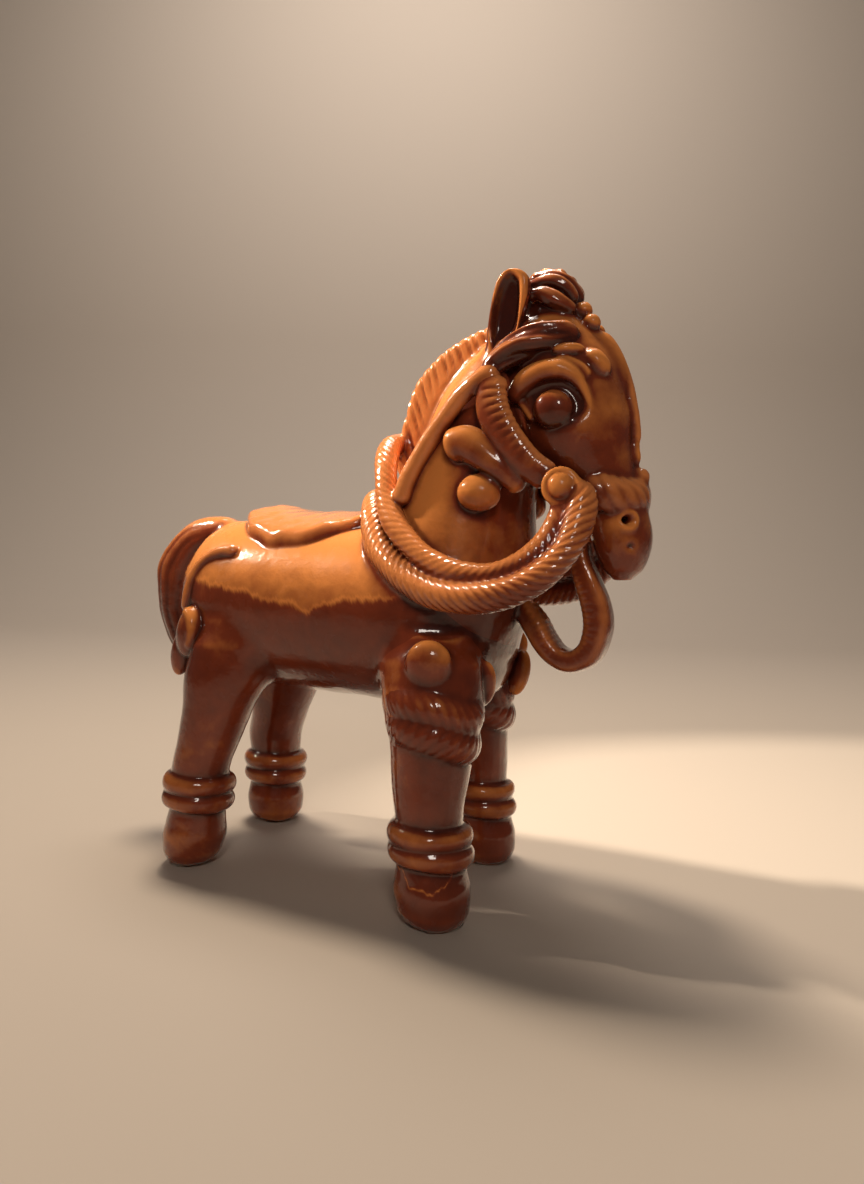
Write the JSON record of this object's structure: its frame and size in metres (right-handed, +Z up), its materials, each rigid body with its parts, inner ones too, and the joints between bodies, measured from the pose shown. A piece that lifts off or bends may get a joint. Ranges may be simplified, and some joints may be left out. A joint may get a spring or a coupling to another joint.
{
  "type": "horse figurine",
  "caption": "Glazed pottery horse standing on four round feet, in harness with a twisted garland, a looped lead rope, a tied topknot, a notched mane and a saddle cloth.",
  "frame": {"origin": "midway along the length and width, on the plane that the four soles stand on", "axes": "+X towards the muzzle, +Y towards the horse's left, +Z up from the soles"},
  "size_m": [0.2691, 0.1138, 0.2886],
  "materials": {
    "honey_glaze": "gloss",
    "trim_glaze": "gloss"
  },
  "bodies": {
    "root": {"berry_left": "honey_glaze", "berry_right": "honey_glaze", "berry_top": "honey_glaze", "bit_button_left": "honey_glaze", "bit_button_right": "honey_glaze", "brow_ridge_left": "honey_glaze", "brow_ridge_right": "honey_glaze", "cheek_strap_left": "trim_glaze", "cheek_strap_right": "trim_glaze", "chest_leaf_left": "honey_glaze", "chest_leaf_right": "honey_glaze", "crupper_strap_left": "trim_glaze", "crupper_strap_right": "trim_glaze", "ear_left": "honey_glaze", "ear_right": "honey_glaze", "eye_left": "honey_glaze", "eye_right": "honey_glaze", "face_pendant": "honey_glaze", "face_strap": "trim_glaze", "forelock_left": "trim_glaze", "forelock_right": "trim_glaze", "front_left_anklet_lower": "honey_glaze", "front_left_anklet_upper": "honey_glaze", "front_left_knee_band_lower": "honey_glaze", "front_left_knee_band_upper": "honey_glaze", "front_left_leg": "honey_glaze", "front_right_anklet_lower": "honey_glaze", "front_right_anklet_upper": "honey_glaze", "front_right_knee_band_lower": "honey_glaze", "front_right_knee_band_upper": "honey_glaze", "front_right_leg": "honey_glaze", "garland_inner_left": "trim_glaze", "garland_inner_right": "trim_glaze", "garland_outer_left": "trim_glaze", "garland_outer_right": "trim_glaze", "head": "honey_glaze", "hip_boss_left": "honey_glaze", "hip_boss_right": "honey_glaze", "lead_rope": "trim_glaze", "mane": "trim_glaze", "neck": "honey_glaze", "neck_boss_left": "honey_glaze", "neck_boss_right": "honey_glaze", "noseband": "trim_glaze", "rear_left_anklet_lower": "honey_glaze", "rear_left_anklet_upper": "honey_glaze", "rear_left_leg": "honey_glaze", "rear_right_anklet_lower": "honey_glaze", "rear_right_anklet_upper": "honey_glaze", "rear_right_leg": "honey_glaze", "rein_left": "trim_glaze", "rein_right": "trim_glaze", "saddle_cloth": "trim_glaze", "shoulder_boss_left": "honey_glaze", "shoulder_boss_right": "honey_glaze", "tail": "trim_glaze", "throat_coil_left": "honey_glaze", "throat_coil_right": "honey_glaze", "topknot": "trim_glaze", "trunk": "honey_glaze"}
  },
  "joints": []
}
